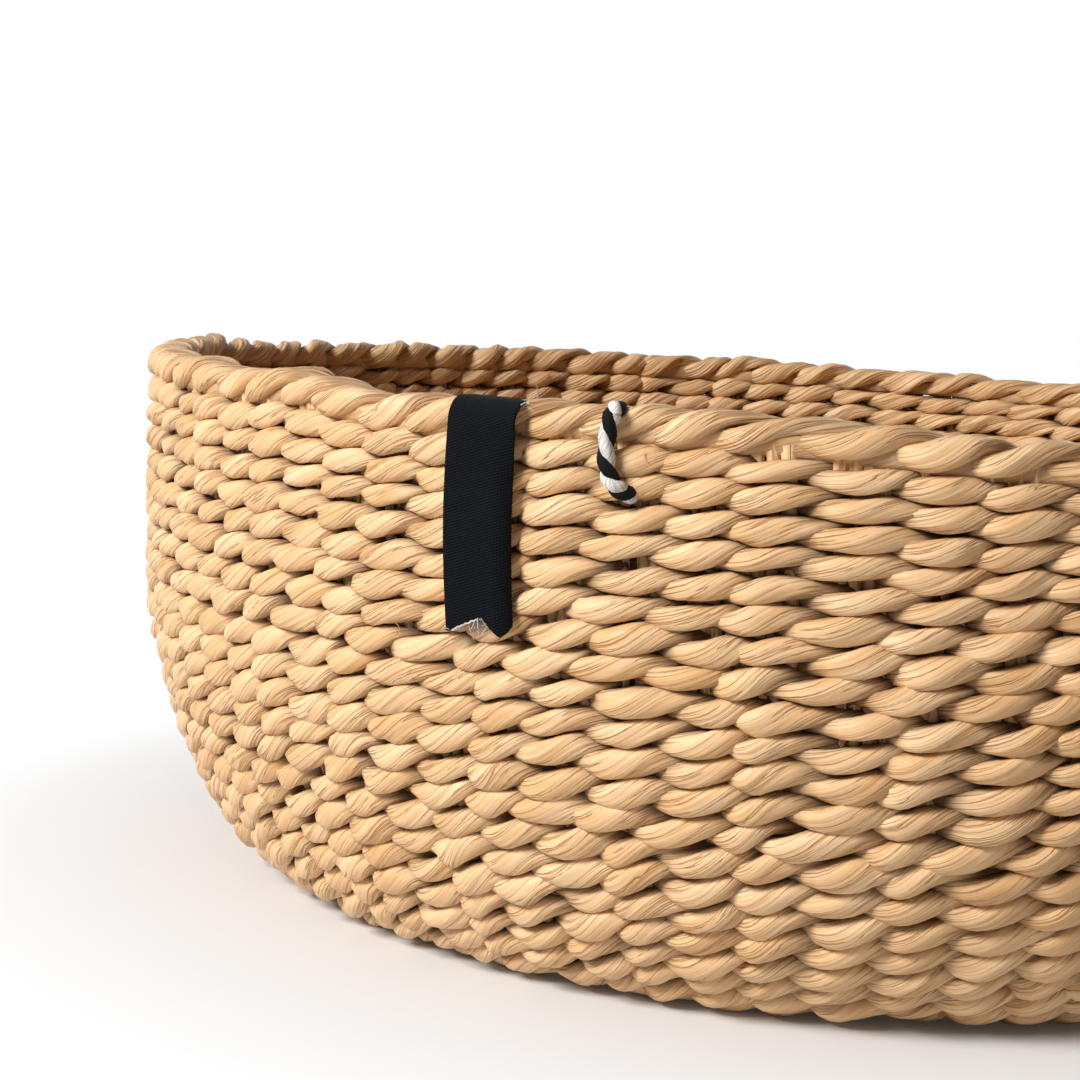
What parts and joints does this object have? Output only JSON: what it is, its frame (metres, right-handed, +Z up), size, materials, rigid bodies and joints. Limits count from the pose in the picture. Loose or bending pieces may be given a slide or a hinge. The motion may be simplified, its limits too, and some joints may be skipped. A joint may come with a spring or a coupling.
{
  "type": "woven bowl",
  "caption": "Low round bowl twined from twisted paper cord over radial stakes, with a rounded corner, a rolled rim, a ribbon label that lifts and a two-ply thread stitch.",
  "frame": {"origin": "middle of the underside, on the surface that the bowl stands on", "axes": "+Z up along the bowl's axis, label on the -Y side, +X to its right as seen from outside"},
  "size_m": [0.3032, 0.3047, 0.1098],
  "materials": {
    "paper_cord": "matt, creased twisted paper cord",
    "stake_strands": "matt, thin twisted paper strands",
    "label_twill": "woven twill ribbon with a frayed cut end",
    "thread_black": "cotton ply",
    "thread_white": "cotton ply"
  },
  "bodies": {
    "bowl": {"base_rounds_under_1": "paper_cord", "base_rounds_under_2": "paper_cord", "base_rounds_under_3": "paper_cord", "base_rounds_over_1": "paper_cord", "base_rounds_over_2": "paper_cord", "base_rounds_over_3": "paper_cord", "wall_round_01_outer": "paper_cord", "wall_round_02_outer": "paper_cord", "wall_round_03_outer": "paper_cord", "wall_round_04_outer": "paper_cord", "wall_round_05_outer": "paper_cord", "wall_round_06_outer": "paper_cord", "wall_round_07_outer": "paper_cord", "wall_round_08_outer": "paper_cord", "wall_round_09_outer": "paper_cord", "wall_round_10_outer": "paper_cord", "wall_round_11_outer": "paper_cord", "wall_round_12_outer": "paper_cord", "wall_round_13_outer": "paper_cord", "wall_round_14_outer": "paper_cord", "wall_round_15_outer": "paper_cord", "wall_round_16_outer": "paper_cord", "wall_round_17_outer": "paper_cord", "wall_round_18_outer": "paper_cord", "wall_round_19_outer": "paper_cord", "wall_round_20_outer": "paper_cord", "wall_round_21_outer": "paper_cord", "wall_round_01_inner": "paper_cord", "wall_round_02_inner": "paper_cord", "wall_round_03_inner": "paper_cord", "wall_round_04_inner": "paper_cord", "wall_round_05_inner": "paper_cord", "wall_round_06_inner": "paper_cord", "wall_round_07_inner": "paper_cord", "wall_round_08_inner": "paper_cord", "wall_round_09_inner": "paper_cord", "wall_round_10_inner": "paper_cord", "wall_round_11_inner": "paper_cord", "wall_round_12_inner": "paper_cord", "wall_round_13_inner": "paper_cord", "wall_round_14_inner": "paper_cord", "wall_round_15_inner": "paper_cord", "wall_round_16_inner": "paper_cord", "wall_round_17_inner": "paper_cord", "wall_round_18_inner": "paper_cord", "wall_round_19_inner": "paper_cord", "wall_round_20_inner": "paper_cord", "wall_round_21_inner": "paper_cord", "rim_border": "paper_cord", "warp_stakes": "stake_strands", "label_saddle": "label_twill", "thread_ply_black": "thread_black", "thread_ply_white": "thread_white"},
    "label_flap": {"label_flap": "label_twill"}
  },
  "joints": [
    {"name": "label_lift", "type": "hinge", "parent": "bowl", "child": "label_flap", "pos_m": [0, -0.15255, 0.1062], "axis": [-1, 0, 0], "range_deg": [0, 90]}
  ]
}
